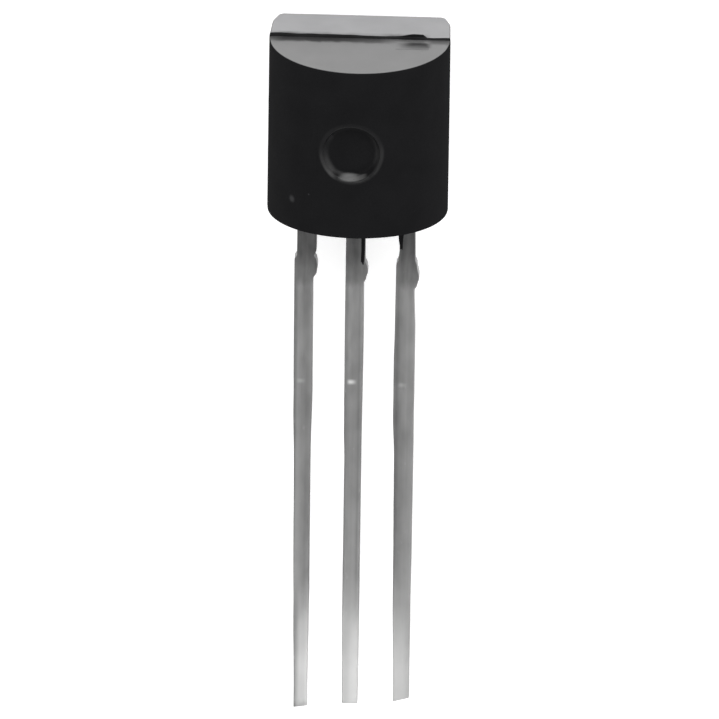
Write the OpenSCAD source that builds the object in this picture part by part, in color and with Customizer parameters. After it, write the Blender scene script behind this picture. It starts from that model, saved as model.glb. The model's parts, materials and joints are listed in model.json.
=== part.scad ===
// Small three-lead transistor in a moulded D-shaped package, in millimetres.
// It lies on its flat side, as it comes to rest on a table: the head end points
// along +Y, the round side is up, and the lead tips have dropped to the table.
// The pieces are drawn in the mould's own frame, where the lead strip is level:
// Z = 0 is the parting plane, Y = 0 the underside and X = 0 the middle lead.

/* [Body] */
// Diameter of the round side
body_w = 4.58; // [4.2:0.02:5.6]
// Height from underside to head, at the parting plane
body_h = 4.55; // [4.2:0.05:6]
// Depth from the parting plane to the flat side
flat_depth = 1.65; // [1.4:0.05:2]
// Draft of the end faces and flanks, in degrees
draft = 2.2; // [0:0.1:4]
// How far each corner of the flat side is cut in
corner_in = 0.16; // [0.05:0.01:0.3]
// How far each corner cut runs up the flank
corner_run = 0.55; // [0.2:0.05:0.8]
// Mismatch of the mould halves, the flat half towards the head
mould_step = 0.06; // [0.02:0.01:0.12]

/* [Ejector mark and gate] */
// Diameter of the round ejector mark
mark_d = 1.52; // [0.8:0.02:1.8]
// Depth of the mark at the crown of the round side
mark_depth = 0.2; // [0.15:0.01:0.3]
// Height of the mark's centre above the underside
mark_y = 2.26; // [1.8:0.02:2.8]
// Width of the broken gate stub on the head
gate_w = 0.72; // [0.3:0.02:1]
// Thickness of the gate stub, on the round half
gate_t = 0.24; // [0.1:0.02:0.4]
// Height of the gate stub above the round half's head
gate_h = 0.07; // [0.04:0.01:0.12]
// Distance of the gate stub's centre from the middle
gate_x = 1.3; // [0.8:0.05:1.5]
// Thickness of the flash fin behind the gate stub
fin_t = 0.06; // [0.03:0.01:0.1]
// Height of the flash fin above the flat half's head
fin_h = 0.09; // [0.04:0.01:0.15]

/* [Leads] */
// Distance between lead centres
lead_pitch = 1.27; // [1.1:0.01:1.4]
// Width of a lead's straight length
lead_w = 0.47; // [0.35:0.01:0.55]
// Thickness of the lead strip
lead_t = 0.4; // [0.3:0.01:0.5]
// Length of the base lead below the body
base_len = 13.47; // [10:0.01:16.5]
// Length of the collector lead below the body
collector_len = 13.38; // [10:0.01:16.5]
// Length of the emitter lead below the body
emitter_len = 13.25; // [10:0.01:16.5]
// Width of the root between the body and the tie-bar stubs
root_w = 0.48; // [0.38:0.01:0.6]
// Length of the root
root_len = 1.24; // [0.8:0.02:1.8]
// How far a sheared tie-bar stub stands out from the root
stub_out = 0.045; // [0.02:0.005:0.12]
// Length of a stub along the lead
stub_len = 0.66; // [0.3:0.02:1]

/* [Lead frame inside the body] */
// Clear gap between the chip pad and a bond post
post_gap = 0.28; // [0.2:0.02:0.34]
// Height of the chip pad
pad_h = 1.5; // [1.3:0.05:1.7]
// Height of the pad's lower edge above the underside
pad_y = 1.95; // [1.5:0.05:2.1]
// Width of a bond post
post_w = 0.78; // [0.6:0.02:0.9]
// Height of a bond post
post_h = 0.75; // [0.5:0.05:0.9]
// Diameter of the resin lock hole below the chip
lock_d = 0.36; // [0.2:0.02:0.44]
// Height of the lock hole's centre above the pad's lower edge
lock_y = 0.4; // [0.3:0.05:0.5]
// Half width of the resin lock notches in the pad's flanks
notch = 0.12; // [0.05:0.01:0.16]

/* [Chip and wires] */
// Side of the square chip
chip_side = 0.46; // [0.4:0.02:0.56]
// Distance of the chip's centre from the pad's upper edge
chip_drop = 0.55; // [0.4:0.05:0.6]
// Thickness of the chip
chip_t = 0.2; // [0.12:0.02:0.3]
// Thickness of the attach layer under the chip
attach_t = 0.03; // [0.02:0.005:0.05]
// Rim of attach material around the chip
attach_rim = 0.05; // [0.02:0.01:0.1]
// Diameter of a bond wire
wire_d = 0.05; // [0.04:0.005:0.06]
// Diameter of the bonded end of a wire
bond_d = 0.13; // [0.1:0.01:0.15]
// Thickness of the bonded end of a wire
bond_t = 0.045; // [0.04:0.005:0.06]
// Distance of a wire's bond from the inner edge of its post
bond_inset = 0.2; // [0.1:0.02:0.5]
// Angle between a wire's two ends and the line that joins them
wire_rise = 58; // [45:1:70]

/* [Hidden] */

$fn = 96;
body_r = body_w / 2;
past = 1; // how far a cutting shape runs past what it cuts
lap = 0.1; // how far joined outlines run into each other

// The posts start flush with the outer leads' inner edges, and the pad fills what is
// left between them. The chip, both posts and both wires lie at one height.
post_in = lead_pitch - root_w / 2;
pad_w = 2 * (post_in - post_gap);
pad_face = -lead_t / 2;
chip_y = pad_y + pad_h - chip_drop;
chip_bottom = pad_face - attach_t;
chip_face = chip_bottom - chip_t;
post_y = chip_y - post_h / 2;

// Bond wires, from the chip to a post
chip_bond_x = chip_side / 4;
post_bond_x = post_in + bond_inset;
chip_bond_z = chip_face - bond_t / 2;
post_bond_z = pad_face - bond_t / 2;
bond_span = post_bond_x - chip_bond_x;
bond_drop = post_bond_z - chip_bond_z;
chord = norm([bond_span, bond_drop]);
chord_angle = atan2(bond_drop, bond_span);
loop_r = chord / 2 / sin(wire_rise);

// The pose at rest: the flat side's lower edge and the longest lead's tip touch the table
longest = max(base_len, collector_len, emitter_len);
edge_y = mould_step + flat_depth * tan(draft);
edge_z = -flat_depth;
tip_z = -lead_t / 2;
tilt = atan((tip_z - edge_z) / (longest + edge_y));
function turned(y, z) = [y * cos(tilt) - z * sin(tilt), y * sin(tilt) + z * cos(tilt)];
rest_z = turned(edge_y, edge_z)[1];
tail_y = turned(-longest, lead_t / 2)[0];
head_y = max(turned(body_h + mould_step + fin_h, -fin_t)[0],
             turned(body_h + mould_step - flat_depth * tan(draft), -flat_depth)[0]);
mid_y = (tail_y + head_y) / 2;

module at_rest() {
    translate([0, -mid_y, -rest_z])
        rotate([tilt, 0, 0])
            children();
}

// Side view of the round half, Y across and Z up: its two ends lean in by the draft
module round_half_side() {
    lean = body_r * tan(draft);
    polygon([[0, 0], [body_h, 0], [body_h - lean, body_r], [lean, body_r]]);
}

// Side view of the flat half, shifted towards the head by the mismatch
module flat_half_side() {
    lean = flat_depth * tan(draft);
    translate([mould_step, 0])
        polygon([[0, 0], [body_h, 0], [body_h - lean, -flat_depth], [lean, -flat_depth]]);
}

// End view of the flat half, X across and Z up
module flat_half_end() {
    corner_z = -(flat_depth - corner_run);
    corner_x = body_r + corner_z * tan(draft);
    face_x = corner_x - corner_in;
    polygon([[-body_r, 0], [-corner_x, corner_z], [-face_x, -flat_depth],
             [face_x, -flat_depth], [corner_x, corner_z], [body_r, 0]]);
}

// Turns a side view, drawn in Y and Z, into a bar of the given width along X
module across(width) {
    translate([-width / 2, 0, 0])
        rotate([90, 0, 90])
            linear_extrude(width)
                children();
}

module round_half() {
    intersection() {
        across(body_w + 2 * past)
            round_half_side();
        rotate([-90, 0, 0])
            cylinder(r = body_r, h = body_h);
    }
}

module flat_half() {
    intersection() {
        across(body_w + 2 * past)
            flat_half_side();
        translate([0, body_h + mould_step, 0])
            rotate([90, 0, 0])
                linear_extrude(body_h + mould_step)
                    flat_half_end();
    }
}

module ejector_mark() {
    translate([0, mark_y, body_r - mark_depth])
        cylinder(d = mark_d, h = mark_depth + past);
}

// What is left of the gate on the head: a low stub, and a flash fin behind it
module gate_stub() {
    root_y = body_h - past;
    translate([gate_x - gate_w / 2, root_y, 0])
        cube([gate_w, past + gate_h, gate_t]);
    translate([gate_x - gate_w / 2, root_y, -fin_t])
        cube([gate_w, past + mould_step + fin_h, fin_t]);
}

module moulded_body() {
    color([0.11, 0.11, 0.12])
        at_rest()
            difference() {
                union() {
                    round_half();
                    flat_half();
                    gate_stub();
                }
                ejector_mark();
                collector_metal();
                post_lead_metal(-1, base_len);
                post_lead_metal(1, emitter_len);
                attach_layer();
                chip_block();
                bond_wire(-1);
                bond_wire(1);
            }
}

// Outline of a lead below the body: root, sheared stubs and the straight length, which
// runs flush with the left-hand edge. The middle lead has no stub on that side.
module lead_outline(length, left_stub) {
    left = -root_w / 2 - (left_stub ? stub_out : 0);
    right = root_w / 2 + stub_out;
    translate([-root_w / 2, -root_len])
        square([root_w, root_len + mould_step]);
    translate([left, -root_len - stub_len])
        square([right - left, stub_len]);
    translate([left, -length])
        square([lead_w, length - root_len]);
}

// Cuts an outline from the lead strip, which lies centred on the parting plane
module lead_strip() {
    translate([0, 0, -lead_t / 2])
        linear_extrude(lead_t)
            children();
}

module collector_metal() {
    difference() {
        lead_strip() {
            lead_outline(collector_len, false);
            translate([-root_w / 2, 0])
                square([root_w, pad_y + lap]);
            translate([-pad_w / 2, pad_y])
                square([pad_w, pad_h]);
        }
        translate([0, pad_y + lock_y, -lead_t])
            cylinder(d = lock_d, h = 2 * lead_t);
        for (side = [-1, 1])
            translate([side * pad_w / 2 - notch, pad_y + lock_y - notch, -lead_t])
                cube([2 * notch, 2 * notch, 2 * lead_t]);
    }
}

// An outer lead: side is -1 for the base and 1 for the emitter
module post_lead_metal(side, length) {
    lead_strip() {
        translate([side * lead_pitch, 0])
            lead_outline(length, true);
        translate([side * lead_pitch - root_w / 2, 0])
            square([root_w, post_y + lap]);
        translate([side > 0 ? post_in : -post_in - post_w, post_y])
            square([post_w, post_h]);
    }
}

module attach_layer() {
    side = chip_side + 2 * attach_rim;
    translate([-side / 2, chip_y - side / 2, chip_bottom])
        cube([side, side, attach_t]);
}

module chip_block() {
    translate([-chip_side / 2, chip_y - chip_side / 2, chip_face])
        cube([chip_side, chip_side, chip_t]);
}

// A gold wire looped from the chip to a post, with a flattened bond at each end
module bond_wire(side) {
    translate([side * chip_bond_x, chip_y, chip_face - bond_t])
        cylinder(d = bond_d, h = bond_t, $fn = 32);
    translate([side * post_bond_x, chip_y, pad_face - bond_t])
        cylinder(d = bond_d, h = bond_t, $fn = 32);
    translate([side * chip_bond_x, chip_y, chip_bond_z])
        mirror([side < 0 ? 1 : 0, 0, 0])
            rotate([0, -chord_angle, 0])
                translate([chord / 2, 0, loop_r * cos(wire_rise)])
                    rotate([90, 0, 0])
                        rotate([0, 0, -90 - wire_rise])
                            rotate_extrude(angle = 2 * wire_rise)
                                translate([loop_r, 0])
                                    circle(d = wire_d, $fn = 24);
}

module base_lead() {
    color([0.62, 0.62, 0.62])
        at_rest()
            post_lead_metal(-1, base_len);
}

module collector_lead() {
    color([0.6, 0.6, 0.6])
        at_rest()
            collector_metal();
}

module emitter_lead() {
    color([0.62, 0.62, 0.62])
        at_rest()
            post_lead_metal(1, emitter_len);
}

module chip_attach() {
    color([0.75, 0.75, 0.72])
        at_rest()
            attach_layer();
}

module silicon_chip() {
    color([0.28, 0.3, 0.36])
        at_rest()
            chip_block();
}

module base_wire() {
    color([0.9, 0.7, 0.3])
        at_rest()
            bond_wire(-1);
}

module emitter_wire() {
    color([0.9, 0.7, 0.3])
        at_rest()
            bond_wire(1);
}

moulded_body();
base_lead();
collector_lead();
emitter_lead();
chip_attach();
silicon_chip();
base_wire();
emitter_wire();
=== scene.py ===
"""Small leaded transistor in a moulded D-shaped package, lying on a pale table.

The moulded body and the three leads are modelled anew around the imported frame. The chip,
the layer under it and the bond wires stay as packed and get materials of their own.
Each new piece is drawn in the mould's frame, in millimetres: X across the leads, Y from the
lead tips to the head, Z from the flat side to the round one, with Z = 0 on the parting
plane. MOULD then lays it down in the row's frame, in metres.
"""

import json
import math

import bmesh
import bpy
from mathutils import Matrix, Vector, noise


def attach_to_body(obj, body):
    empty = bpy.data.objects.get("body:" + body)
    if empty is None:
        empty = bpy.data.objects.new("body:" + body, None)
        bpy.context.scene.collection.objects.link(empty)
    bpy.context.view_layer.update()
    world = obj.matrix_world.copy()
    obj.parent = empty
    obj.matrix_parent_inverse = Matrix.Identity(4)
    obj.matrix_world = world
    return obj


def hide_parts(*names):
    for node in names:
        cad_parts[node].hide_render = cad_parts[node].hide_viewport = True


bl_info = {
    "name": "Small Moulded Transistor",
    "version": (1, 0, 0),
    "blender": (4, 5, 0),
    "location": "View3D > Sidebar > Transistor",
    "description": "Models a moulded three-lead transistor around its packed frame",
    "category": "Object",
}

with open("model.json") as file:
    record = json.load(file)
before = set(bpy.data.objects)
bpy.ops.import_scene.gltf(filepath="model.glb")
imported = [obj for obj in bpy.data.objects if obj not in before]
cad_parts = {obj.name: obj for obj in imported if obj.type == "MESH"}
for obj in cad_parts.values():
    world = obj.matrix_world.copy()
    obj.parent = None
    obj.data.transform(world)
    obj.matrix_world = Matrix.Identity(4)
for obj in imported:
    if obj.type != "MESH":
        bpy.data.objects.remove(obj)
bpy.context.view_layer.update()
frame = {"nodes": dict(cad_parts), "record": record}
MM = 0.001
NEAR = 1e-4  # millimetres within which two places count as one


def mould_frame():
    """The matrix that takes the mould's frame, in millimetres, to the row's, in metres."""
    mount = next(m for m in frame["record"]["mounts"] if m["name"] == "pcb_leads")
    along = -Vector(mount["axis"]).normalized()
    across = Vector((1, 0, 0))
    turn = Matrix((across, along, across.cross(along))).transposed().to_4x4()
    return Matrix.Translation(mount["pos_m"]) @ turn @ Matrix.Scale(MM, 4)


MOULD = mould_frame()


def mould_box(node):
    """Lowest and highest corner of a CAD node in the mould's frame, in millimetres."""
    back = MOULD.inverted()
    places = [back @ v.co for v in frame["nodes"][node].data.vertices]
    low = Vector([min(p[i] for p in places) for i in range(3)])
    high = Vector([max(p[i] for p in places) for i in range(3)])
    return low, high


BODY_LOW, BODY_HIGH = mould_box("moulded_body")
LEAD_NODES = ("base_lead", "collector_lead", "emitter_lead")


# ---------------------------------------------------------------- settings


def length(name, about, default):
    """A size property, in metres."""
    return bpy.props.FloatProperty(
        name=name, description=about, default=default, min=0, precision=6,
        subtype="DISTANCE", unit="LENGTH",
    )


def colour(name, about, default):
    """A colour property, linear red, green and blue."""
    return bpy.props.FloatVectorProperty(
        name=name, description=about, default=default, size=3, min=0, max=1, subtype="COLOR"
    )


def share(name, about, default, most=1.0):
    """A plain number from nought to most."""
    return bpy.props.FloatProperty(name=name, description=about, default=default, min=0, max=most)


class ResinSettings(bpy.types.PropertyGroup):
    height: length("Height", "Underside to head of the round half, on the parting plane", 0.004558)
    flash: length("Flash", "How far the parting flash stands out all round", 0.000008)
    shrink: length("Shrinkage", "How much the cured resin draws in on each side", 0.000026)
    edge: length("Edge radius", "Radius of the rounded end edges", 0.00003)
    corner: length("Corner radius", "Radius of the corners beside the flat side", 0.00012)
    corner_in: length("Corner cut", "How far each corner of the flat side is cut in", 0.00016)
    corner_run: length("Corner run", "How far each corner cut runs up the flank", 0.00055)
    step: length("Mismatch", "Shift of the flat half towards the head", 0.000045)
    mark_radius: length("Mark radius", "Radius of the ejector mark", 0.00071)
    mark_depth: length("Mark depth", "Depth of the ejector mark at the crown", 0.0002)
    mark_place: length("Mark height", "Height of the mark's centre above the underside", 0.00233)
    mark_off: bpy.props.FloatProperty(
        name="Mark offset", description="How far the mark's centre lies off the middle",
        default=-0.0001, precision=6, subtype="DISTANCE", unit="LENGTH",
    )
    draft: bpy.props.FloatProperty(
        name="Draft", description="Lean of the end faces and flanks", default=math.radians(1.9),
        min=0, max=math.radians(5), subtype="ANGLE", unit="ROTATION",
    )
    tint: colour("Resin", "Colour of the filled epoxy", (0.0098, 0.0098, 0.0104))
    # The end faces' colours are a painted sheen, paler on the flat half than on the round one.
    near_painted_sheen: colour("Painted sheen, round half", "Colour of the round half's ends", (0.0905,) * 3)
    far_painted_sheen: colour("Painted sheen, flat half", "Colour of the flat half's ends", (0.157, 0.157, 0.162))
    # The paler colour of the painted highlights on the ejector mark's lip and arcs.
    torn: colour("Mark highlight", "Colour where the ejector pin tore the skin", (0.17, 0.17, 0.17))
    dust: colour("Filler", "Colour of filler grains", (0.05, 0.05, 0.052))
    roughness: share("Roughness", "Roughness of the moulded skin", 0.42)


class GateSettings(bpy.types.PropertyGroup):
    place: length("Place", "Distance of the gate stub's centre from the middle", 0.00133)
    width: length("Width", "Width of the broken gate stub", 0.00082)
    back: length("Back", "Where the stub starts on the round half", 0.00012)
    front: length("Front", "Where the stub ends on the round half", 0.00062)
    height: length("Height", "Height of the stub over the head", 0.00005)
    fin_place: length("Fin place", "Distance of the torn fin's centre from the middle", 0.00124)
    fin_width: length("Fin width", "Width of the torn fin", 0.00088)
    fin: length("Fin height", "Height of the torn fin over the head", 0.000085)


class LeadSettings(bpy.types.PropertyGroup):
    pitch: length("Pitch", "Distance between lead centres", 0.00127)
    roll_over: length("Rounded edge", "Radius of the edges on the punch side", 0.000025)
    burr: length("Sharp edge", "Radius of the edges on the die side", 0.000015)
    # The leads run from the dull colour near the body to the bright one at the tips: partly
    # plating dulled near the body, partly a painted reflection.
    bright: colour("Bright tin", "Colour of clean plating", (0.86, 0.86, 0.855))
    dull: colour("Dull tin", "Colour of plating dulled near the body", (0.068, 0.068, 0.068))
    roughness: share("Roughness", "Roughness of the plating", 0.36)


class ChipSettings(bpy.types.PropertyGroup):
    gold: colour("Gold", "Colour of the bond wires", (0.95, 0.64, 0.22))
    silicon: colour("Silicon", "Colour of the chip", (0.09, 0.1, 0.14))
    attach: colour("Attach alloy", "Colour of the layer under the chip", (0.55, 0.54, 0.5))


class StageSettings(bpy.types.PropertyGroup):
    floor: colour("Table", "Colour of the table top", (0.86, 0.86, 0.86))
    glow: share("Table glow", "Brightness of the table's own even light", 0.52, 5.0)
    sky: share("Surround", "Brightness of the surround", 0.26, 5.0)
    elevation: bpy.props.FloatProperty(
        name="Camera height", description="Angle of the view above the head's plane",
        default=math.radians(21.35), subtype="ANGLE", unit="ROTATION",
    )
    swing: bpy.props.FloatProperty(
        name="Camera swing", description="Angle of the view towards the emitter lead",
        default=math.radians(1.9), subtype="ANGLE", unit="ROTATION",
    )
    roll: bpy.props.FloatProperty(
        name="Camera roll", description="Lean of the picture",
        default=math.radians(0.82), subtype="ANGLE", unit="ROTATION",
    )
    distance: length("Camera distance", "From the middle of the body to the camera", 0.6)
    field: length("Picture width", "Width that the picture covers at the body", 0.017948)


GROUPS = {
    "transistor_resin": ResinSettings,
    "transistor_gate": GateSettings,
    "transistor_leads": LeadSettings,
    "transistor_chip": ChipSettings,
    "transistor_stage": StageSettings,
}


# ---------------------------------------------------------------- shading


class Value:
    """A number in a material. Arithmetic on it adds the material's Math nodes."""

    def __init__(self, shader, socket):
        self.shader = shader
        self.socket = socket

    def math(self, operation, *others):
        inputs = dict(enumerate((self, *others)))
        return self.shader.add("ShaderNodeMath", {"operation": operation}, inputs)

    def __add__(self, other):
        return self.math("ADD", other)

    def __sub__(self, other):
        return self.math("SUBTRACT", other)

    def __rsub__(self, other):
        return self.math("MULTIPLY_ADD", -1.0, other)

    def __mul__(self, other):
        return self.math("MULTIPLY", other)

    __radd__ = __add__
    __rmul__ = __mul__

    def between(self, low, high):
        """0 up to low, 1 from high on, and smooth between them."""
        inputs = {"Value": self, "From Min": low, "From Max": high}
        return self.shader.add("ShaderNodeMapRange", {"interpolation_type": "SMOOTHSTEP"}, inputs)


class Shader:
    """A material with one Principled surface, and the one method that adds its nodes."""

    def __init__(self, name):
        self.material = bpy.data.materials.new(name)
        self.material.use_nodes = True
        self.tree = self.material.node_tree
        self.surface = next(n for n in self.tree.nodes if n.type == "BSDF_PRINCIPLED")

    def fill(self, socket, value):
        if isinstance(value, Value):
            self.tree.links.new(value.socket, socket)
        else:
            socket.default_value = value

    def add(self, kind, settings=None, inputs=None, outputs=0):
        node = self.tree.nodes.new(kind)
        for key, setting in (settings or {}).items():
            if key == "stops":
                self.set_stops(node.color_ramp, setting)
            else:
                setattr(node, key, setting)
        for key, value in (inputs or {}).items():
            self.fill(node.inputs[key], value)
        if isinstance(outputs, tuple):
            return [Value(self, node.outputs[key]) for key in outputs]
        return Value(self, node.outputs[outputs])

    def set_stops(self, ramp, stops):
        while len(ramp.elements) < len(stops):
            ramp.elements.new(0.5)
        for element, (place, level) in zip(ramp.elements, stops):
            element.position = place
            element.color = (level, level, level, 1)

    def ramp(self, value, stops):
        return self.add("ShaderNodeValToRGB", {"stops": stops}, {"Fac": value})

    def mix(self, factor, first, second):
        inputs = {0: factor, 6: first, 7: second}
        return self.add("ShaderNodeMix", {"data_type": "RGBA"}, inputs, 2)

    def tint(self, level, base):
        """The colour base at a brightness that varies over the surface."""
        return self.mix(level, (0, 0, 0, 1), base)

    def place(self):
        """Where the surface is, in the mould's frame and in millimetres."""
        shift, turn, scale = MOULD.inverted().decompose()
        where = self.add("ShaderNodeTexCoord", outputs="Object")
        inputs = {
            "Vector": where, "Location": shift, "Rotation": turn.to_euler(), "Scale": scale,
        }
        return self.add("ShaderNodeMapping", {"vector_type": "POINT"}, inputs)

    def axes(self, place):
        return self.add("ShaderNodeSeparateXYZ", None, {0: place}, ("X", "Y", "Z"))

    def stretch(self, place, factors):
        return self.add("ShaderNodeVectorMath", {"operation": "MULTIPLY"}, {0: place, 1: factors})

    def distance(self, place, target):
        """Distance from a fixed target, in the units of place."""
        inputs = {0: place, 1: target}
        return self.add("ShaderNodeVectorMath", {"operation": "DISTANCE"}, inputs, "Value")

    def noise(self, place, scale, detail):
        inputs = {"Vector": place, "Scale": scale, "Detail": detail}
        return self.add("ShaderNodeTexNoise", None, inputs, "Fac")

    def bump(self, height, microns):
        """A surface that rises by microns where height is 1."""
        inputs = {"Height": height, "Distance": microns * 1e-6}
        return self.add("ShaderNodeBump", None, inputs, "Normal")

    def paint(self, **sockets):
        """Fills the surface's sockets, given by name with underscores for spaces."""
        for key, value in sockets.items():
            self.fill(self.surface.inputs[key.replace("_", " ")], value)
        return self.material


# Places on the resin, in millimetres, with its wear, its painted highlights and its painted
# shadow. A pair of distances holds where an effect starts and where it is complete.
FLECK = (-1.59, 0.85, 1.6)  # a pale spot low on the round side
FLECK_FADE = (0.03, 0.13)
LIP_HIGHLIGHT = (-0.16, 1.675)  # the middle of the painted highlight on the mark's lower lip
LIP_HIGHLIGHT_SQUASH = 2.8  # how much longer than high that highlight is
LIP_HIGHLIGHT_FADE = (0.09, 0.32)
TORN_INNER = (0.54, 0.64)  # radii of the ring of torn skin round the middle of the mark
TORN_OUTER = (0.77, 0.84)
TORN_LOWER = (0.3, 0.66)  # how far below the mark's middle the tearing grows to its full
GATE_LEFT = (0.85, 1.35)  # the painted shadow in front of the gate, a darker streak to the right of the middle
GATE_RIGHT = (1.64, 1.84)
GATE_BACK = (0.2, 0.32)  # and in front of the parting plane
GATE_FRONT = (0.42, 0.62)
HEAD_END = (2.0, 3.0)  # height from which a place belongs to the head, not to the underside

# How dull and dark the head is beside the parting line, where its painted sheen and gloss fall
# away, across its width of SMUDGE_SPAN millimetres:
# (place from 0 at the left to 1 at the right, dullness) on the round and on the flat half.
SMUDGE_SPAN = 4.8
NEAR_SMUDGE = (
    (0.04, 0.45), (0.1, 0.72), (0.19, 0.78), (0.35, 0.8), (0.48, 0.68), (0.6, 0.6), (0.66, 0.25),
    (0.7, 0.0), (0.84, 0.1), (0.88, 0.5), (0.96, 0.4),
)
FAR_SMUDGE = (
    (0.04, 0.3), (0.09, 0.8), (0.14, 0.8), (0.2, 0.6), (0.36, 0.5), (0.5, 0.35), (0.6, 0.25),
    (0.66, 0.6), (0.76, 0.65), (0.84, 0.3), (0.87, 0.0),
)


def rgba(values):
    return (*values, 1.0)


def mark_tear_and_highlight(shader, place, upper, size):
    """How torn the skin is round the ejector mark, and where painted highlights lie on its lower
    lip and side arcs.
    """
    across, along, _ = shader.axes(place)
    away = shader.distance(shader.stretch(place, (1, 1, 0)), (size.mark_x, size.mark_y, 0))
    torn = away.between(*TORN_INNER) * (1 - away.between(*TORN_OUTER))
    below = size.mark_y - along
    torn = torn * (0.45 + 0.55 * below.between(*TORN_LOWER)) * upper
    squashed = shader.stretch(place, (1, LIP_HIGHLIGHT_SQUASH, 0))
    lip_highlight = shader.distance(squashed, (LIP_HIGHLIGHT[0], LIP_HIGHLIGHT[1] * LIP_HIGHLIGHT_SQUASH, 0))
    lip_highlight = (1 - lip_highlight.between(*LIP_HIGHLIGHT_FADE)) * upper
    left = (1 - across.between(-0.64, -0.45)) * (1 - along.between(1.95, 2.5))
    right = across.between(0.4, 0.6) * (1 - along.between(2.3, 2.7))
    return torn, lip_highlight * 0.6 + torn * (left * 0.3 + right * 0.15)


def end_sheen(shader, place):
    """1 where an end face gets its painted sheen (a paler colour standing for its reflection of
    the bright surround) and its gloss, less in the darker streaks by the parting line and in the
    painted shadow in front of the gate.
    """
    across, along, up = shader.axes(place)
    where = across * (1 / SMUDGE_SPAN) + 0.5
    wander = (shader.noise(place, 3.4, 2.0) - 0.5) * 0.16
    front = up.between(-0.02, 0.0)
    near = shader.ramp(where, NEAR_SMUDGE) * front * (1 - (up + wander).between(0.17, 0.36))
    far = shader.ramp(where, FAR_SMUDGE) * (1 - front) * (up + wander).between(-0.36, -0.04)
    # Painted shadow in front of the gate stub: the head's painted sheen and gloss fall away there.
    gate = across.between(*GATE_LEFT) * (1 - across.between(*GATE_RIGHT))
    gate = gate * (up + wander * 0.5).between(*GATE_BACK) * (1 - up.between(*GATE_FRONT))
    gate = gate * along.between(*HEAD_END)
    return (1 - near) * (1 - far) * (1 - gate * 0.8)


def resin_material(resin, size):
    """Filled epoxy: near black and matt, with a painted sheen on its end faces, and torn round the
    ejector mark, where painted highlights lie on the lip.
    """
    shader = Shader("moulded_epoxy")
    place = shader.place()
    upper = shader.axes(place)[2].between(-0.03, 0.01)
    turned = shader.add("ShaderNodeTexCoord", outputs="Normal")
    head = (MOULD.to_3x3() @ Vector((0, 1, 0))).normalized()
    lean = shader.add(
        "ShaderNodeVectorMath", {"operation": "DOT_PRODUCT"}, {0: turned, 1: head}, "Value"
    )
    # The end faces, found by which way they face: the mask below gives them a painted sheen in
    # their colour and real gloss in their coat.
    ends = lean.math("ABSOLUTE").between(0.8, 0.97)
    clean = ends * end_sheen(shader, place)
    torn, mark_highlight = mark_tear_and_highlight(shader, place, upper, size)
    grain = shader.noise(place, 21.0, 3.0)
    cloud = shader.noise(place, 1.3, 2.0)
    cells = shader.add(
        "ShaderNodeTexVoronoi", None, {"Vector": place, "Scale": 2.6}, ("Distance", "Color")
    )
    rare = shader.axes(cells[1])[0].between(0.86, 0.9)
    specks = (1 - cells[0].between(0.03, 0.09)) * rare
    fleck = 1 - shader.distance(place, FLECK).between(*FLECK_FADE)
    # Painted sheen on the end faces: paler on the flat half than on the round one.
    painted_sheen = shader.mix(upper, rgba(resin.far_painted_sheen), rgba(resin.near_painted_sheen))
    skin = shader.mix(clean, rgba(resin.tint), painted_sheen)
    skin = shader.mix(fleck * 0.6, skin, rgba(resin.dust))
    # Painted highlights on the ejector mark's lower lip and side arcs.
    skin = shader.mix(mark_highlight, skin, rgba(resin.torn))
    skin = shader.mix(specks * 0.5 + grain.between(0.62, 0.8) * 0.06, skin, rgba(resin.dust))
    return shader.paint(
        Base_Color=shader.mix(cloud * 0.3, skin, (0, 0, 0, 1)),
        Roughness=resin.roughness - 0.08 + cloud * 0.1 + grain * 0.1,
        Coat_Weight=clean * 0.95 + torn * 0.3 + (1 - upper) * (1 - ends) * 0.3 + 0.022,
        Coat_Roughness=0.36,
        Specular_IOR_Level=0.0,
        Normal=shader.bump(grain + cloud * 0.6 - specks * 0.5, 4.0),
    )


# Brightness of the leads from root (0) to tip (1): plating dulled near the body, and a painted
# reflection that brightens towards the tips. Then its offset from 0.5 across all three leads, over
# LEAD_SPAN millimetres, along the shanks and near the tips: lengthwise streaks, with a painted
# reflection darker at each left edge.
LEAD_DULLING_AND_REFLECTION = (
    (0.0, 0.03), (0.083, 0.055), (0.115, 0.145), (0.138, 0.17), (0.152, 0.265), (0.262, 0.27),
    (0.39, 0.23), (0.57, 0.224), (0.74, 0.235), (0.79, 0.31), (0.83, 0.41), (0.918, 0.54),
    (0.985, 0.51), (0.997, 0.34),
)
LEAD_SPAN = 3.3
NICK_DROP = 4.6  # how far down the leads a small bright nick lies, in millimetres
NICK_HIGH = 0.095  # half its height
LEAD_PROFILE = (
    (0.027, 0.34), (0.045, 0.38), (0.064, 0.62), (0.085, 0.57), (0.106, 0.49), (0.136, 0.42),
    (0.16, 0.45), (0.176, 0.5), (0.421, 0.38), (0.433, 0.43), (0.448, 0.55), (0.5, 0.55),
    (0.518, 0.48), (0.53, 0.4), (0.545, 0.55), (0.797, 0.36), (0.818, 0.3), (0.839, 0.43),
    (0.864, 0.48), (0.894, 0.54), (0.93, 0.58),
)
TIP_PROFILE = (
    (0.07, 0.28), (0.08, 0.34), (0.092, 0.43), (0.106, 0.5), (0.136, 0.55), (0.161, 0.63),
    (0.439, 0.46), (0.47, 0.5), (0.492, 0.55), (0.523, 0.6), (0.552, 0.62), (0.824, 0.48),
    (0.855, 0.5), (0.9, 0.47), (0.93, 0.4),
)


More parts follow.
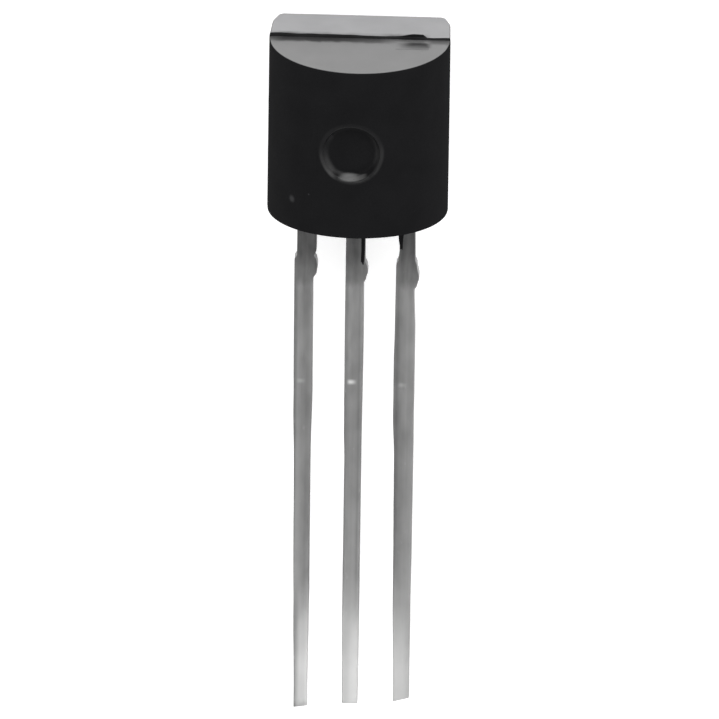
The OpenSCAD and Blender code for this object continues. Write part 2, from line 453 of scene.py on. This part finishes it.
def tin_material(leads, length_mm):
    """Tin plating: dark near the body and brighter towards the tips, partly dulled plating and
    partly a painted reflection. It is streaked lengthwise, with a painted reflection darker at the
    left edges.
    """
    shader = Shader("tin_plating")
    place = shader.place()
    across, along, _ = shader.axes(place)
    pitch = leads.pitch / MM
    local = across.math("WRAP", pitch / 2, -pitch / 2)
    ragged = shader.noise(shader.stretch(place, (7.0, 2.0, 7.0)), 1.0, 2.0)
    down = (along + (ragged - 0.5) * 0.35) * (-1.0 / length_mm)
    # Darker near the body and brighter towards the tips: partly dulled plating, partly a painted
    # reflection of the bright surround.
    tone = shader.ramp(down, LEAD_DULLING_AND_REFLECTION)
    where = across * (1 / LEAD_SPAN) + 0.5
    lower = down.between(0.72, 0.84)
    middle_rows = shader.ramp(where, LEAD_PROFILE) - 0.5
    tip_rows = shader.ramp(where, TIP_PROFILE) - 0.5
    # Across each lead: lengthwise streaks, with a painted reflection darker at its left edge.
    profile = middle_rows * (1 - lower) * 0.5 + tip_rows * lower * tone * 2.0
    streaks = shader.noise(shader.stretch(place, (6.5, 0.16, 6.5)), 1.0, 3.0)
    drawn = shader.noise(shader.stretch(place, (46.0, 1.6, 46.0)), 1.0, 2.0)
    blotches = shader.noise(shader.stretch(place, (3.0, 1.3, 3.0)), 1.0, 3.0)
    scuffs = shader.noise(shader.stretch(place, (9.0, 4.0, 9.0)), 1.0, 2.0).between(0.66, 0.78)
    middle = 1 - across.math("ABSOLUTE").between(0.5, 0.7)
    nick_at = along + NICK_DROP + across.between(0.7, 1.1) * 0.05
    nick = 1 - nick_at.math("ABSOLUTE").between(0.0, NICK_HIGH)
    nick = nick * local.between(-0.22, -0.12) * (1 - local.between(-0.1, 0.07))
    nick = nick * (0.22 + middle * 0.78)
    level = tone + profile * down.between(0.13, 0.16) + nick * 0.6 + scuffs * 0.04
    level = level + (streaks - 0.5) * 0.14 + (blotches - 0.5) * 0.1
    return shader.paint(
        Base_Color=shader.mix(level, rgba(leads.dull), rgba(leads.bright)),
        Roughness=leads.roughness + (drawn - 0.5) * 0.2 + (blotches - 0.5) * 0.16,
        Metallic=1.0,
        Normal=shader.bump(drawn * 0.6 + streaks * 0.8 + blotches, 3.0),
    )


def plain_metal(name, tone, roughness, scale):
    """A small metal part whose brightness and roughness vary a little from place to place."""
    shader = Shader(name)
    speckle = shader.noise(shader.place(), scale, 2.0)
    return shader.paint(
        Base_Color=shader.tint(0.85 + speckle * 0.15, rgba(tone)),
        Roughness=roughness + speckle * 0.15,
        Metallic=1.0,
        Normal=shader.bump(speckle, 1.0),
    )


def silicon_material(chip):
    """Polished silicon with a faint square metal pattern on its face."""
    shader = Shader("polished_silicon")
    place = shader.place()
    cells = shader.add(
        "ShaderNodeTexVoronoi", {"distance": "CHEBYCHEV"}, {"Vector": place, "Scale": 12.0},
        "Distance",
    )
    tracks = cells.between(0.3, 0.36)
    return shader.paint(
        Base_Color=shader.mix(tracks * 0.5, rgba(chip.silicon), rgba(chip.attach)),
        Roughness=0.16 + tracks * 0.14,
        Normal=shader.bump(tracks, 0.6),
    )


def floor_material(stage):
    """A smooth pale table top with a soft light of its own."""
    shader = Shader("pale_table")
    where = shader.add("ShaderNodeTexCoord", outputs="Object")
    soft = shader.noise(where, 60.0, 2.0)
    pale = shader.tint(0.98 + soft * 0.04, rgba(stage.floor))
    return shader.paint(
        Base_Color=pale,
        Roughness=0.75 + soft * 0.1,
        Emission_Color=pale,
        Emission_Strength=stage.glow,
    )


# ---------------------------------------------------------------- mesh helpers


SHARP = math.radians(38.0)  # the angle from which an edge is shaded as a crease


def made_of(kind, result):
    """The items of one kind, such as corners, that a bmesh operator has made."""
    return [item for item in result["geom"] if isinstance(item, kind)]


def cut(bm, geometry, place, normal):
    """Adds an edge loop where a plane crosses the given part of the mesh."""
    bmesh.ops.bisect_plane(bm, geom=geometry, dist=NEAR, plane_co=place, plane_no=normal)


def whole(bm):
    return bm.verts[:] + bm.edges[:] + bm.faces[:]


def around(faces):
    """The faces with their edges and corners."""
    edges = {e for f in faces for e in f.edges}
    corners = {v for f in faces for v in f.verts}
    return list(corners) + list(edges) + list(faces)


def rim(bm):
    return [e for e in bm.edges if e.is_boundary]


def next_ring(bm, edges, place):
    """Grows a strip from a loop of edges; place gives each new corner from its old one."""
    made = bmesh.ops.extrude_edge_only(bm, edges=edges)
    for corner in made_of(bmesh.types.BMVert, made):
        corner.co = place(corner.co)
    return [e for e in made_of(bmesh.types.BMEdge, made) if e.is_boundary]


def bevel(bm, edges, offset, segments):
    bmesh.ops.bevel(
        bm, geom=edges, offset=offset, offset_type="OFFSET", segments=segments, profile=0.5,
        affect="EDGES", material=-1, clamp_overlap=True,
    )


def finish_piece(bm, name, material, nodes=(), widest=2.0):
    """Lays a piece drawn in the mould's frame in the row's, and gives it body and finish.

    Four-sided faces under widest square millimetres are shaded smooth, and the rest flat.
    """
    bmesh.ops.recalc_face_normals(bm, faces=bm.faces)
    for face in bm.faces:
        face.smooth = len(face.verts) == 4 and face.calc_area() < widest
    for edge in bm.edges:
        edge.smooth = edge.calc_face_angle(0.0) < SHARP
    bmesh.ops.transform(bm, matrix=MOULD, verts=bm.verts)
    mesh = bpy.data.meshes.new(name)
    bm.to_mesh(mesh)
    bm.free()
    mesh.materials.append(material)
    piece = bpy.data.objects.new(name, mesh)
    bpy.context.scene.collection.objects.link(piece)
    weigh = piece.modifiers.new("even_shading", "WEIGHTED_NORMAL")
    weigh.keep_sharp = True
    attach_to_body(piece, "root")
    if nodes:
        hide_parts(*nodes)
    return piece


def jitter(x, y, seed):
    """A steady pseudo-random number from -1 to 1 that changes smoothly with x and y."""
    return noise.noise(Vector((x, y, seed)))


# ---------------------------------------------------------------- the moulded body

ARC_STEPS = 72  # strips round the half circle
BLOCK_STEPS = 20  # strips across the square that the ejector mark is set in
LINE = 0.02  # half thickness of the worked strip along the parting plane
BAND = 3.5 * LINE  # half height of the band whose columns let the parting line wander
COLUMN = 0.11  # spacing of those columns
RAGGED = 0.022  # how strongly the flat half's edge is torn up on the head
TILT = 0.016  # how much higher that edge is in the middle than at its right end
WANDER = 0.012  # how far the parting line strays from its plane
LIFT = 0.01  # how far a gate face is drawn out before its height is set
LIP = 0.03  # radius of the ejector mark's rounded lip
RIM = 0.03  # width of the ring outside that lip
FOOT = 0.03  # how far the mark's wall slopes in at least
BURR = 0.008  # how far the lip stands proud

# Where the pin has torn the mark's wall: how much further it slopes in, the middle of the
# tear as an angle from X towards Y, and its half width, both in degrees.
TEARS = ((0.1, -97, 44), (0.08, 205, 50), (0.05, 0, 45))


class Resin:
    """Sizes of the moulded body, in millimetres."""

    def __init__(self, resin, gate):
        self.flash = resin.flash / MM
        self.radius = BODY_HIGH.x - self.flash - resin.shrink / MM
        self.height = resin.height / MM
        self.depth = -BODY_LOW.z
        self.edge = resin.edge / MM
        self.step = resin.step / MM
        self.lean = math.tan(resin.draft)
        self.corner_z = resin.corner_run / MM - self.depth
        self.corner_x = self.radius + self.corner_z * self.lean
        self.face_x = self.corner_x - resin.corner_in / MM
        self.corner = resin.corner / MM
        self.mark_x = resin.mark_off / MM
        self.mark_y = resin.mark_place / MM
        self.mark_r = resin.mark_radius / MM
        self.mark_floor = self.radius - resin.mark_depth / MM
        self.stub = ((gate.place - gate.width / 2) / MM, (gate.place + gate.width / 2) / MM)
        self.stub_z = (gate.back / MM, gate.front / MM)
        self.stub_h = gate.height / MM
        self.fin = (
            (gate.fin_place - gate.fin_width / 2) / MM, (gate.fin_place + gate.fin_width / 2) / MM
        )
        self.fin_h = gate.fin / MM

    def crown(self, x):
        """Height of the round side over the parting plane."""
        return math.sqrt(max(0.0, self.radius**2 - x * x))


def body_block(bm, size):
    """The D outline, spun and drawn from underside to head, with its end edges rounded."""
    start = bm.verts.new((size.radius, 0, 0))
    bmesh.ops.spin(
        bm, geom=[start], cent=(0, 0, 0), axis=(0, -1, 0), angle=math.pi, steps=ARC_STEPS,
        use_merge=False,
    )
    corners = [
        (-size.corner_x, size.corner_z), (-size.face_x, -size.depth),
        (size.face_x, -size.depth), (size.corner_x, size.corner_z),
    ]
    last = min(bm.verts, key=lambda v: v.co.x)
    for x, z in corners:
        corner = bm.verts.new((x, 0, z))
        bm.edges.new((last, corner))
        last = corner
    bm.edges.new((last, start))
    underside = bmesh.ops.edgeloop_fill(bm, edges=bm.edges[:])["faces"]
    drawn = bmesh.ops.extrude_face_region(bm, geom=underside, use_keep_orig=True)
    bmesh.ops.translate(
        bm, verts=made_of(bmesh.types.BMVert, drawn), vec=(0, size.height, 0)
    )
    bmesh.ops.recalc_face_normals(bm, faces=bm.faces)
    ends = [e for e in bm.edges if abs(e.verts[0].co.y - e.verts[1].co.y) < NEAR]
    upright = [
        e for e in bm.edges if e not in ends and e.verts[0].co.z < size.corner_z + NEAR
    ]
    bevel(bm, upright, size.corner, 4)
    ends = [e for e in bm.edges if any(abs(f.normal.y) > 0.9 for f in e.link_faces)]
    bevel(bm, ends, size.edge, 3)


def open_square(bm, size, half):
    """Cuts loops round the body, and takes out a square of faces where the mark will be."""
    for k in range(BLOCK_STEPS + 1):
        level = size.mark_y + half * (2 * k / BLOCK_STEPS - 1)
        cut(bm, whole(bm), (0, level, 0), (0, 1, 0))
    block = []
    for face in bm.faces:
        centre = face.calc_center_median()
        if centre.z > 0 and max(abs(centre.x), abs(centre.y - size.mark_y)) < half:
            block.append(face)
    bmesh.ops.delete(bm, geom=block, context="FACES")


def wall_run(angle):
    """How far the mark's wall slopes in at an angle."""
    torn = 0.0
    for run, middle, reach in TEARS:
        off = (math.degrees(angle) - middle + 180) % 360 - 180
        torn += run * max(0.0, 1 - (off / reach) ** 2) ** 2
    return FOOT + torn + 0.01 * (1 + jitter(angle * 1.5, 0, 8.4))


def mark_rings(size, half):
    """Placing rules for the rings from the square opening, over the lip, to the mark's floor."""
    wall, floor = size.mark_r, size.mark_floor

    def ring(radius, height):
        """A rule from a ring's radius by angle and its height by x and angle."""
        def place(co):
            angle = math.atan2(co.y - size.mark_y, co.x - size.mark_x)
            r = radius(angle)
            x = size.mark_x + r * math.cos(angle)
            return Vector((x, size.mark_y + r * math.sin(angle), height(x, angle)))
        return place

    def square_to_round(angle, part):
        square = half / max(abs(math.cos(angle)), abs(math.sin(angle)))
        return square + (wall + LIP + RIM - square) * part

    def lip_top(x, angle):
        burr = BURR + 0.01 * jitter(math.cos(angle) * 1.6, math.sin(angle) * 1.6, 3.3)
        return size.crown(x) + burr

    def wall_height(x, angle, part):
        drop = (size.crown(x) - LIP - floor) * (1 - part) ** 1.4
        rough = 0.01 * jitter(math.cos(angle) * 4, math.sin(angle) * 4, 6.1)
        return floor + drop + rough * (1 - part)

    for part in (0.3, 0.6, 0.85, 1.0):
        yield ring(
            lambda angle, part=part: square_to_round(angle, part),
            lambda x, _: size.crown(x),
        )
    yield ring(lambda _: wall + LIP * 0.8, lip_top)
    for turn in (45, 90):
        a = math.radians(turn)
        yield ring(
            lambda _, a=a: wall + LIP * 0.5 * (1 - math.sin(a)),
            lambda x, angle, a=a: lip_top(x, angle) - LIP * (1 - math.cos(a)),
        )
    for part in (0.35, 0.65, 0.85, 1.0):
        yield ring(
            lambda angle, part=part: wall - wall_run(angle) * part,
            lambda x, angle, part=part: wall_height(x, angle, part),
        )
    for inner in (0.5, 0.3, 0.1):
        yield ring(
            lambda _, r=inner: r,
            lambda x, angle, r=inner: floor + 0.01 * jitter(x * 5, r * math.sin(angle) * 5, 4.4),
        )


def sink_mark(bm, size):
    """Grows rings from a square opening in the round side down into the ejector mark."""
    half = size.radius * math.sin(math.pi * BLOCK_STEPS / ARC_STEPS / 2)
    open_square(bm, size, half)
    loop = rim(bm)
    for place in mark_rings(size, half):
        loop = next_ring(bm, loop, place)
    bmesh.ops.edgeloop_fill(bm, edges=loop)


def end_faces(bm, head, low, high):
    """Faces of one flat end whose centres lie between two heights over the parting plane."""
    side = 1 if head else -1
    found = []
    for face in bm.faces:
        if face.normal.y * side > 0.9 and low < face.calc_center_median().z < high:
            found.append(face)
    return found


def part_line(bm, size):
    """Cuts loops beside the parting plane, and columns where it crosses head and underside."""
    for level in (BAND, LINE, 0.0, -LINE, -BAND):
        cut(bm, whole(bm), (0, 0, level), (0, 0, 1))
    columns = int(size.radius / COLUMN)
    for head in (True, False):
        for k in range(-columns, columns + 1):
            strip = end_faces(bm, head, -BAND, BAND)
            cut(bm, around(strip), (k * COLUMN, 0, 0), (1, 0, 0))


def swell(x, span, rise, fall):
    """0 at both ends of a span and 1 between, over a rise and a fall."""
    up = min(1.0, (x - span[0]) / rise)
    down = min(1.0, (span[1] - x) / fall)
    part = max(0.0, min(up, down))
    return part * part * (3 - 2 * part)


def raise_gate(bm, size):
    """Draws the broken gate stub and the torn fin behind it out of the head."""
    strip = (-BAND, -LINE)
    for x in size.fin:
        cut(bm, around(end_faces(bm, True, *strip)), (x, 0, 0), (1, 0, 0))
    for z in size.stub_z:
        cut(bm, around(end_faces(bm, True, BAND, size.radius)), (0, 0, z), (0, 0, 1))
    for x in size.stub:
        cut(bm, around(end_faces(bm, True, *size.stub_z)), (x, 0, 0), (1, 0, 0))

    back, front = size.stub_z

    def stub_top(z):
        """Rises from the parting line, then falls away in a slope at the front."""
        part = (z - back) / (front - back)
        return size.stub_h * (0.2 + 0.8 * part / 0.75 if part < 0.76 else 0.08)

    for span, levels, top, rise, seed in (
        (size.stub, size.stub_z, stub_top, 0.5, 3.7),
        (size.fin, strip, lambda _: size.fin_h, 0.55, 9.1),
    ):
        faces = [
            f for f in end_faces(bm, True, *levels)
            if span[0] < f.calc_center_median().x < span[1]
        ]
        drawn = bmesh.ops.extrude_face_region(bm, geom=faces)
        tops = made_of(bmesh.types.BMFace, drawn)
        for corner in made_of(bmesh.types.BMVert, drawn):
            corner.co.y += LIFT
        edges = list({e for f in tops for e in f.edges})
        cuts = 7 if len(tops) == 1 else 3
        split = bmesh.ops.subdivide_edges(bm, edges=edges, cuts=cuts, use_grid_fill=True)
        corners = {v for e in made_of(bmesh.types.BMEdge, split) for v in e.verts}
        for corner in corners:
            x, y, z = corner.co
            if y > size.height + LIFT - NEAR:
                torn = 1 - 0.3 * (0.5 + 0.5 * jitter(x * 5, z * 9, seed))
                height = top(z) * swell(x, span, rise, 0.12) * torn
                corner.co.y = size.height + max(0.004, height)


def settle_halves(bm, size):
    """Leans the ends by the draft, shifts the flat half and wanders the parting line."""
    for corner in bm.verts:
        x, y, z = corner.co
        if z < NEAR - LINE:
            corner.co.y += size.step
            if y > size.height / 2 and z > -2 * LINE:
                torn = RAGGED * max(0.0, 0.5 + jitter(x * 2.3, 0, 2.2))
                corner.co.y += torn + TILT * (1 - x / size.radius)
        if y > size.height - size.edge - NEAR:
            corner.co.y -= abs(z) * size.lean
        elif y < size.edge + NEAR:
            corner.co.y += abs(z) * size.lean
        if abs(z) < LINE + NEAR and abs(x) < size.radius - size.edge:
            corner.co.z += WANDER * jitter(x * 2.4, y, 5.5)
        if abs(z) < NEAR and abs(x) > size.radius - NEAR:
            ridge = size.flash * (0.7 + 0.3 * jitter(x, y * 3, 1))
            corner.co.x += math.copysign(ridge, x)


class TRANSISTOR_OT_mould_body(bpy.types.Operator):
    """Model the moulded body with its ejector mark, parting line and broken gate"""

    bl_idname = "transistor.mould_body"
    bl_label = "Mould body"

    def execute(self, context):
        resin = context.scene.transistor_resin
        size = Resin(resin, context.scene.transistor_gate)
        bm = bmesh.new()
        body_block(bm, size)
        sink_mark(bm, size)
        bmesh.ops.recalc_face_normals(bm, faces=bm.faces)
        part_line(bm, size)
        raise_gate(bm, size)
        settle_halves(bm, size)
        finish_piece(bm, "epoxy_body", resin_material(resin, size), ["moulded_body"])
        return {"FINISHED"}


# ---------------------------------------------------------------- the leads

JOIN_Y = 0.3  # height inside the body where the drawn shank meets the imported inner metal

# Outline of each lead below the body, in millimetres from its pitch line: for each side the
# places (y, x) that its edge runs through, from the root down. The last one holds to the tip.
LEAD_EDGES = {
    "base_lead": (
        [(0, -0.225), (-1.22, -0.225), (-1.34, -0.285), (-3.0, -0.283), (-5.2, -0.268),
         (-6.9, -0.235), (-9.0, -0.222), (-10.8, -0.2), (-13.2, -0.165)],
        [(0, 0.265), (-0.85, 0.262), (-1.08, 0.265), (-1.24, 0.21), (-1.37, 0.275), (-1.5, 0.3),
         (-1.66, 0.28), (-1.86, 0.19), (-3.0, 0.195), (-4.9, 0.205), (-6.7, 0.18),
         (-9.0, 0.185), (-10.2, 0.19), (-13.2, 0.18)],
    ),
    "collector_lead": (
        [(0, -0.272), (-1.4, -0.272), (-3.0, -0.272), (-5.6, -0.262), (-6.7, -0.24),
         (-10.5, -0.24), (-13.0, -0.218)],
        [(0, 0.214), (-1.36, 0.216), (-1.5, 0.27), (-1.62, 0.29), (-1.78, 0.25), (-1.95, 0.19),
         (-3.4, 0.2), (-6.5, 0.185)],
    ),
    "emitter_lead": (
        [(0, -0.225), (-0.8, -0.2), (-1.1, -0.2), (-1.28, -0.222), (-1.45, -0.28), (-3.0, -0.288),
         (-4.1, -0.305), (-5.6, -0.3), (-6.6, -0.262), (-10.4, -0.24), (-13.0, -0.2)],
        [(0, 0.18), (-1.1, 0.195), (-1.28, 0.2), (-1.45, 0.25), (-1.76, 0.305), (-1.95, 0.26),
         (-2.1, 0.19), (-3.3, 0.225), (-6.0, 0.222), (-9.0, 0.218), (-10.5, 0.205)],
    ),
}
# How much higher one edge of a sheared tip ends than the other, the left one where this is
# positive and the right one where it is negative, and how far a lead ends above its packed tip.
TIP_SLANT = {"base_lead": -0.05, "collector_lead": 0.0, "emitter_lead": -0.11}
TIP_SHORT = {"base_lead": 0.0, "collector_lead": 0.05, "emitter_lead": 0.0}
STUBS_END = -2.4  # height below which the leads run plain
CLOSE, WIDE = 0.04, 0.25  # spacing of the rings above and below that
TIP_RUN = 0.05  # length of the last stretch, which takes the slant


def edge_at(places, y):
    """Where a lead's edge lies at height y: smooth between the outline's places."""
    for (top, x_top), (low, x_low) in zip(places, places[1:]):
        if y >= low:
            part = (top - y) / (top - low)
            part = part * part * (3 - 2 * part)
            return x_top + (x_low - x_top) * part
    return places[-1][1]


def stations(tip):
    """Heights at which a lead gets a ring: close together by the stubs, wider below."""
    y = 0.0
    while y > STUBS_END:
        yield y
        y -= CLOSE
    while y > tip + WIDE + TIP_RUN:
        yield y
        y -= WIDE
    yield tip + TIP_RUN
    yield tip


def inner_metal(node):
    """A lead's packed metal above JOIN_Y, with its lower end open, in the mould's frame."""
    bm = bmesh.new()
    bm.from_mesh(frame["nodes"][node].data)
    bmesh.ops.transform(bm, matrix=MOULD.inverted(), verts=bm.verts)
    bmesh.ops.remove_doubles(bm, verts=bm.verts, dist=NEAR)
    bmesh.ops.dissolve_limit(
        bm, angle_limit=math.radians(1), verts=bm.verts, edges=bm.edges
    )
    bmesh.ops.bisect_plane(
        bm, geom=whole(bm), dist=NEAR, plane_co=(0, JOIN_Y, 0), plane_no=(0, -1, 0),
        clear_outer=True,
    )
    return bm


def draw_lead(node, centre, leads):
    """Grows the outer lead from the inner metal's open end, ring by ring to the sheared tip."""
    low, high = mould_box(node)
    bm = inner_metal(node)
    left, right = LEAD_EDGES[node]
    slant = TIP_SLANT[node]
    tip = low.y + TIP_SHORT[node]
    loop = rim(bm)
    for y in stations(tip):
        at_tip = y < tip + TIP_RUN + NEAR

        def place(co, y=y, at_tip=at_tip):
            side = -1 if co.x < centre else 1
            x = centre + edge_at(left if side < 0 else right, y)
            x += 0.004 * jitter(y * 1.7, side, centre)
            z = math.copysign(high.z, co.z)
            z *= 1 - 0.012 * (1 + jitter(y * 0.9, co.z, 7 + centre))
            shear = max(0.0, -side * slant) if at_tip else 0.0
            return Vector((x, y + shear, z))

        loop = next_ring(bm, loop, place)
    bmesh.ops.edgeloop_fill(bm, edges=loop)
    bmesh.ops.recalc_face_normals(bm, faces=bm.faces)
    for upper, radius, segments in ((True, leads.roll_over, 3), (False, leads.burr, 2)):
        edges = []
        for edge in bm.edges:
            a, b = (v.co for v in edge.verts)
            lengthwise = abs(a.y - b.y) > abs(a.x - b.x) and max(a.y, b.y) < JOIN_Y + NEAR
            if lengthwise and edge.calc_face_angle(0.0) > 1 and (a.z > 0) == upper:
                edges.append(edge)
        bevel(bm, edges, radius / MM, segments)
    return bm


class TRANSISTOR_OT_draw_leads(bpy.types.Operator):
    """Model the three tin-plated leads with their sheared tie-bar stubs"""

    bl_idname = "transistor.draw_leads"
    bl_label = "Draw leads"

    def execute(self, context):
        leads = context.scene.transistor_leads
        tips = [mould_box(node)[0].y for node in LEAD_NODES]
        material = tin_material(leads, -min(tips))
        for place, node in enumerate(LEAD_NODES):
            bm = draw_lead(node, (place - 1) * leads.pitch / MM, leads)
            finish_piece(bm, node.replace("_lead", "_pin"), material, [node], 0.006)
        return {"FINISHED"}


# ---------------------------------------------------------------- resin flash at the roots

# Films of resin that crept out along the leads: the x of each film's middle at the root, how
# far that drifts, its width, the part of its width lost at its end, how far it runs down the
# lead and its thickness, in millimetres.
FILMS = (
    (1.056, 0.06, 0.18, 0.66, 0.98, 0.44),
    (0.165, -0.015, 0.1, 0.25, 1.42, 0.43),
    (-1.03, 0.0, 0.08, 0.6, 0.42, 0.42),
    (-1.48, 0.0, 0.05, 0.6, 0.3, 0.42),
    (-0.25, 0.0, 0.045, 0.6, 0.36, 0.42),
    (1.45, 0.0, 0.05, 0.6, 0.28, 0.42),
)
FILM_ROOT = 0.12  # how far inside the body each film starts


def resin_film(bm, x, drift, width, taper, run, thick):
    """A wedge of resin that starts inside the body and thins out down the lead's edge."""
    earlier = len(bm.verts)
    corners = bmesh.ops.create_cube(bm, size=1.0)["verts"]
    edges = list({e for v in corners for e in v.link_edges})
    bmesh.ops.subdivide_edges(bm, edges=edges, cuts=4, use_grid_fill=True)
    bm.verts.ensure_lookup_table()
    for corner in bm.verts[earlier:]:
        across, along, up = corner.co
        fall = 0.5 - along
        narrow = 1 - taper * fall**2
        wander = 0.12 * width * jitter(fall * 4, x, 2.6)
        ragged = 1 + 0.12 * jitter(across * 2 + x, up * 3, 4.0)
        corner.co = Vector((
            x + drift * fall + across * width * narrow + wander,
            FILM_ROOT - fall * (FILM_ROOT + run * ragged),
            up * thick * (1 - 0.12 * fall**3) + 0.012,
        ))


class TRANSISTOR_OT_creep_flash(bpy.types.Operator):
    """Model the thin films of resin that crept out along the leads' roots"""

    bl_idname = "transistor.creep_flash"
    bl_label = "Creep flash"

    def execute(self, context):
        bm = bmesh.new()
        for film in FILMS:
            resin_film(bm, *film)
        material = bpy.data.materials["moulded_epoxy"]
        finish_piece(bm, "root_flash", material)
        return {"FINISHED"}


# ---------------------------------------------------------------- what is sealed inside


class TRANSISTOR_OT_finish_chip(bpy.types.Operator):
    """Give the chip, the layer under it and the bond wires their materials"""

    bl_idname = "transistor.finish_chip"
    bl_label = "Finish chip"

    def execute(self, context):
        chip = context.scene.transistor_chip
        gold = plain_metal("drawn_gold", chip.gold, 0.2, 30.0)
        finishes = {
            "silicon_chip": silicon_material(chip),
            "chip_attach": plain_metal("bonding_alloy", chip.attach, 0.5, 14.0),
            "base_wire": gold,
            "emitter_wire": gold,
        }
        for node, material in finishes.items():
            slots = frame["nodes"][node].data.materials
            slots.clear()
            slots.append(material)
        return {"FINISHED"}


# ---------------------------------------------------------------- stage


# Soft boxes: name, place, target, width and height, in metres, and radiance.
LIGHTS = (
    ("head_light", (0.02, 0.3, 0.135), (0, 0.005, 0), 0.8, 0.26, 2.4),
    ("top_light", (0.01, 0.15, 0.27), (0, 0, 0), 0.35, 0.35, 1.5),
    ("left_light", (-0.25, -0.03, 0.17), (0, 0, 0), 0.3, 0.3, 0.85),
    ("right_light", (0.25, -0.03, 0.17), (0, 0, 0), 0.3, 0.3, 0.85),
    ("foot_light", (0.0, -0.27, 0.13), (0, 0, 0), 0.44, 0.26, 1.7),
    ("tip_light", (0.0, -0.05, 0.05), (0, -0.009, 0), 0.03, 0.03, 1.6),
)
# How far the picture's middle lies below and to the right of the body's, in picture widths.
AIM_DOWN = 0.3282
AIM_RIGHT = 0.001


def soft_light(name, place, target, width, height, radiance):
    """A soft box at place, turned to target, that the camera doesn't see."""
    lamp = bpy.data.lights.new(name, "AREA")
    lamp.shape = "RECTANGLE"
    lamp.size = width
    lamp.size_y = height
    lamp.energy = radiance * math.pi * width * height
    light = bpy.data.objects.new(name, lamp)
    light.location = place
    light.rotation_euler = (Vector(target) - Vector(place)).to_track_quat("-Z", "Y").to_euler()
    light.visible_camera = False
    bpy.context.scene.collection.objects.link(light)


def set_camera(stage, size):
    """A long lens on the body's round side and head, with the leads running down the picture."""
    e, swing = stage.elevation, stage.swing
    turn = MOULD.to_3x3().normalized()
    towards = turn @ Vector((
        math.sin(swing) * math.cos(e), math.sin(e), math.cos(swing) * math.cos(e)
    ))
    middle = MOULD @ Vector((0, size.height / 2, 0))
    up = (turn @ Vector((0, 1, 0))).normalized()
    right = up.cross(towards).normalized()
    up = towards.cross(right)
    rolled = Matrix.Rotation(stage.roll, 3, towards)
    right, up = rolled @ right, rolled @ up
    aim = middle - up * stage.field * AIM_DOWN + right * stage.field * AIM_RIGHT
    camera = bpy.data.objects.new("camera", bpy.data.cameras.new("camera"))
    camera.location = middle + towards * stage.distance
    back = (camera.location - aim).normalized()
    side = up.cross(back).normalized()
    camera.matrix_world = Matrix.Translation(camera.location) @ Matrix(
        (side, back.cross(side), back)
    ).transposed().to_4x4()
    camera.data.lens = camera.data.sensor_width * stage.distance / stage.field
    camera.data.clip_start = 0.01
    bpy.context.scene.collection.objects.link(camera)
    bpy.context.scene.camera = camera


class TRANSISTOR_OT_set_stage(bpy.types.Operator):
    """Set the pale table, the soft lights, the surround and the camera"""

    bl_idname = "transistor.set_stage"
    bl_label = "Set stage"

    def execute(self, context):
        scene = context.scene
        stage = scene.transistor_stage
        bm = bmesh.new()
        bmesh.ops.create_circle(bm, cap_ends=True, segments=64, radius=2.0)
        mesh = bpy.data.meshes.new("table_top")
        bm.to_mesh(mesh)
        bm.free()
        mesh.materials.append(floor_material(stage))
        floor = bpy.data.objects.new("table_top", mesh)
        scene.collection.objects.link(floor)

        world = bpy.data.worlds.new("surround")
        world.use_nodes = True
        glow = world.node_tree.nodes["Background"]
        glow.inputs["Color"].default_value = (1, 1, 1, 1)
        glow.inputs["Strength"].default_value = stage.sky
        scene.world = world
        scene.view_settings.view_transform = "Standard"

        for light in LIGHTS:
            soft_light(*light)
        set_camera(stage, Resin(scene.transistor_resin, scene.transistor_gate))
        return {"FINISHED"}


# ---------------------------------------------------------------- add-on


class TRANSISTOR_PT_pieces(bpy.types.Panel):
    """Lists the steps that build the transistor, with their sizes and colours"""

    bl_idname = "TRANSISTOR_PT_pieces"
    bl_label = "Moulded transistor"
    bl_space_type = "VIEW_3D"
    bl_region_type = "UI"
    bl_category = "Transistor"

    def draw(self, context):
        for group, kind in GROUPS.items():
            box = self.layout.box()
            for key in kind.__annotations__:
                box.prop(getattr(context.scene, group), key)
        for step in STEPS:
            self.layout.operator(step.bl_idname)


STEPS = (
    TRANSISTOR_OT_mould_body,
    TRANSISTOR_OT_creep_flash,
    TRANSISTOR_OT_draw_leads,
    TRANSISTOR_OT_finish_chip,
    TRANSISTOR_OT_set_stage,
)


def register():
    for kind in (*GROUPS.values(), *STEPS, TRANSISTOR_PT_pieces):
        bpy.utils.register_class(kind)
    for name, kind in GROUPS.items():
        setattr(bpy.types.Scene, name, bpy.props.PointerProperty(type=kind))


def unregister():
    for name in GROUPS:
        delattr(bpy.types.Scene, name)
    for kind in (TRANSISTOR_PT_pieces, *reversed(STEPS), *reversed(GROUPS.values())):
        bpy.utils.unregister_class(kind)


def main():
    register()
    bpy.ops.transistor.mould_body()
    bpy.ops.transistor.creep_flash()
    bpy.ops.transistor.draw_leads()
    bpy.ops.transistor.finish_chip()
    bpy.ops.transistor.set_stage()


if __name__ == "__main__":
    main()
